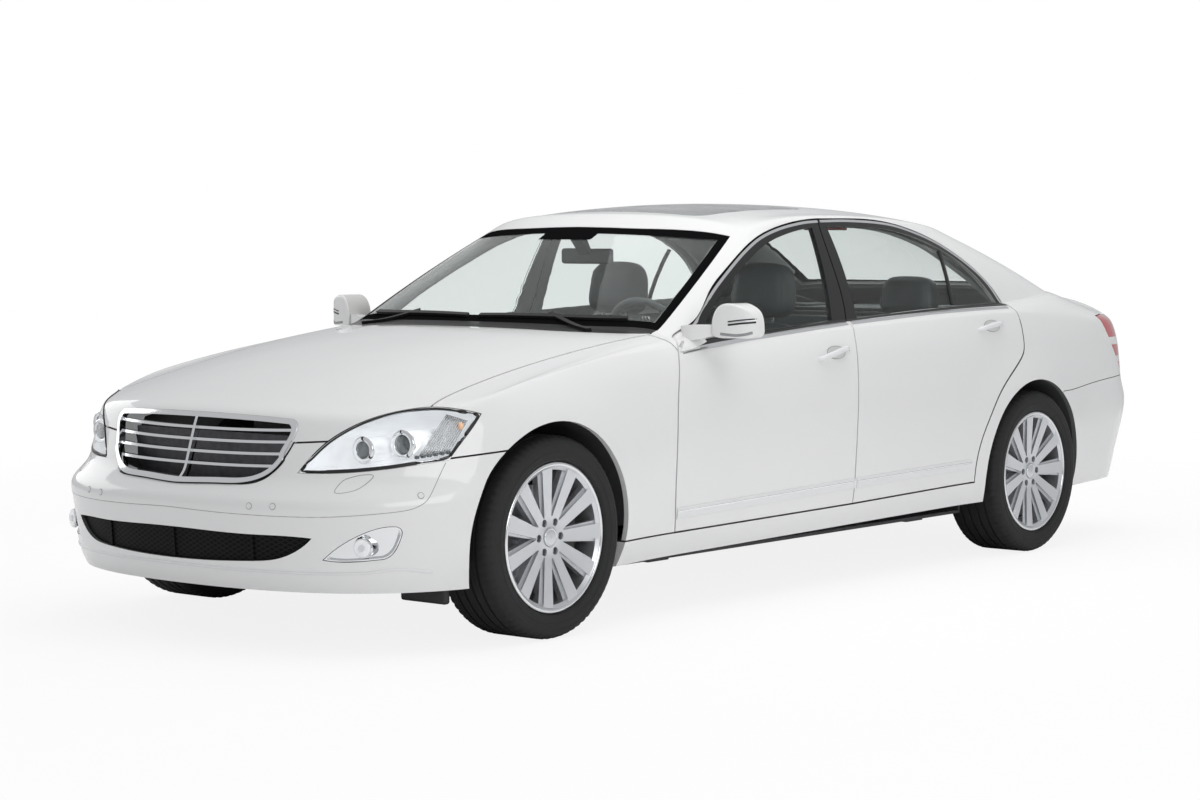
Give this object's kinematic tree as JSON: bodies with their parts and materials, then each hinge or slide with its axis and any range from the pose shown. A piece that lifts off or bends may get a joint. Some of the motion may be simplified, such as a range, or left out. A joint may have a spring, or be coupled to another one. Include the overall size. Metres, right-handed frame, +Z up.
{
  "type": "luxury saloon car",
  "caption": "Long white four-door luxury saloon with opening doors, bonnet and boot lid, steered front wheels and turning road wheels.",
  "frame": {"origin": "on the road under the middle of the car's length and width", "axes": "+X to the nose, +Y to the car's left side, +Z up"},
  "size_m": [5.1971, 2.1206, 1.476],
  "materials": {
    "white_paint": "gloss white clear-coated",
    "tinted_glass": "grey-green tint",
    "roof_glass": "dark grey tint",
    "lamp_glass": "clear",
    "lamp_chrome": "bright",
    "grille_chrome": "bright",
    "tail_red": "clear red with white bands",
    "black_plastic": "black",
    "underbody_grey": "dark grey sealer",
    "cast_steel": "as cast",
    "core_metal": "dull",
    "exhaust_steel": "satin",
    "trim_grey": "grained dark grey",
    "seat_leather": "dark grey",
    "tyre_rubber": "matte",
    "rim_silver": "silver lacquer"
  },
  "bodies": {
    "body": {"body_shell": "white_paint", "underbody": "underbody_grey", "front_bumper": "white_paint", "rear_bumper": "white_paint", "front_wings": "white_paint", "headlamps": "lamp_chrome", "headlamp_covers": "lamp_glass", "tail_lamps": "tail_red", "fog_lamps": "lamp_chrome", "lower_grille": "black_plastic", "bonded_glass": "tinted_glass", "wipers": "black_plastic", "sunroof": "roof_glass", "engine": "cast_steel", "radiator": "core_metal", "dashboard": "trim_grey", "front_seats": "seat_leather", "rear_seat": "seat_leather", "suspension": "cast_steel", "exhaust": "exhaust_steel", "cabin_mirror": "trim_grey"},
    "steering_wheel": {"steering_wheel": "trim_grey"},
    "bonnet": {"hood": "white_paint", "grille": "grille_chrome"},
    "boot_lid": {"boot_lid": "white_paint"},
    "front_door_left": {"front_door_left": "white_paint", "front_door_glass_left": "tinted_glass", "mirror_left": "white_paint"},
    "rear_door_left": {"rear_door_left": "white_paint", "rear_door_glass_left": "tinted_glass"},
    "knuckle_left": {"knuckle_left": "cast_steel"},
    "wheel_front_left": {"tyre_front_left": "tyre_rubber", "rim_front_left": "rim_silver"},
    "wheel_rear_left": {"tyre_rear_left": "tyre_rubber", "rim_rear_left": "rim_silver"},
    "front_door_right": {"front_door_right": "white_paint", "front_door_glass_right": "tinted_glass", "mirror_right": "white_paint"},
    "rear_door_right": {"rear_door_right": "white_paint", "rear_door_glass_right": "tinted_glass"},
    "knuckle_right": {"knuckle_right": "cast_steel"},
    "wheel_front_right": {"tyre_front_right": "tyre_rubber", "rim_front_right": "rim_silver"},
    "wheel_rear_right": {"tyre_rear_right": "tyre_rubber", "rim_rear_right": "rim_silver"}
  },
  "joints": [
    {"name": "steering_left", "type": "hinge", "parent": "body", "child": "knuckle_left", "pos_m": [1.691, 0.735, 0.343], "axis": [0, 0, 1], "range_deg": [-34, 34]},
    {"name": "steering_right", "type": "hinge", "parent": "body", "child": "knuckle_right", "pos_m": [1.691, -0.735, 0.343], "axis": [0, 0, 1], "range_deg": [-34, 34]},
    {"name": "steering_wheel_turn", "type": "hinge", "parent": "body", "child": "steering_wheel", "pos_m": [0.48, 0.37, 0.932], "axis": [-0.9135, 0, 0.4067], "range_deg": [-480, 480]},
    {"name": "front_wheel_spin_left", "type": "hinge", "parent": "knuckle_left", "child": "wheel_front_left", "pos_m": [1.691, 0.8, 0.343], "axis": [0, 1, 0], "continuous": true},
    {"name": "rear_wheel_spin_left", "type": "hinge", "parent": "body", "child": "wheel_rear_left", "pos_m": [-1.474, 0.8, 0.343], "axis": [0, 1, 0], "continuous": true},
    {"name": "front_door_hinge_left", "type": "hinge", "parent": "body", "child": "front_door_left", "pos_m": [1.0145, 0.918, 0.6], "axis": [0, 0, -1], "range_deg": [0, 68]},
    {"name": "rear_door_hinge_left", "type": "hinge", "parent": "body", "child": "rear_door_left", "pos_m": [-0.1215, 0.918, 0.6], "axis": [0, 0, -1], "range_deg": [0, 68]},
    {"name": "front_wheel_spin_right", "type": "hinge", "parent": "knuckle_right", "child": "wheel_front_right", "pos_m": [1.691, -0.8, 0.343], "axis": [0, 1, 0], "continuous": true},
    {"name": "rear_wheel_spin_right", "type": "hinge", "parent": "body", "child": "wheel_rear_right", "pos_m": [-1.474, -0.8, 0.343], "axis": [0, 1, 0], "continuous": true},
    {"name": "front_door_hinge_right", "type": "hinge", "parent": "body", "child": "front_door_right", "pos_m": [1.0145, -0.918, 0.6], "axis": [0, 0, 1], "range_deg": [0, 68]},
    {"name": "rear_door_hinge_right", "type": "hinge", "parent": "body", "child": "rear_door_right", "pos_m": [-0.1215, -0.918, 0.6], "axis": [0, 0, 1], "range_deg": [0, 68]},
    {"name": "bonnet_hinge", "type": "hinge", "parent": "body", "child": "bonnet", "pos_m": [0.958, 0, 1.03], "axis": [0, -1, 0], "range_deg": [0, 50]},
    {"name": "boot_hinge", "type": "hinge", "parent": "body", "child": "boot_lid", "pos_m": [-1.955, 0, 1.125], "axis": [0, 1, 0], "range_deg": [0, 75]}
  ],
  "couplings": [
    {"joint": "steering_right", "follows": "steering_left", "ratio": 1},
    {"joint": "steering_wheel_turn", "follows": "steering_left", "ratio": 14}
  ]
}
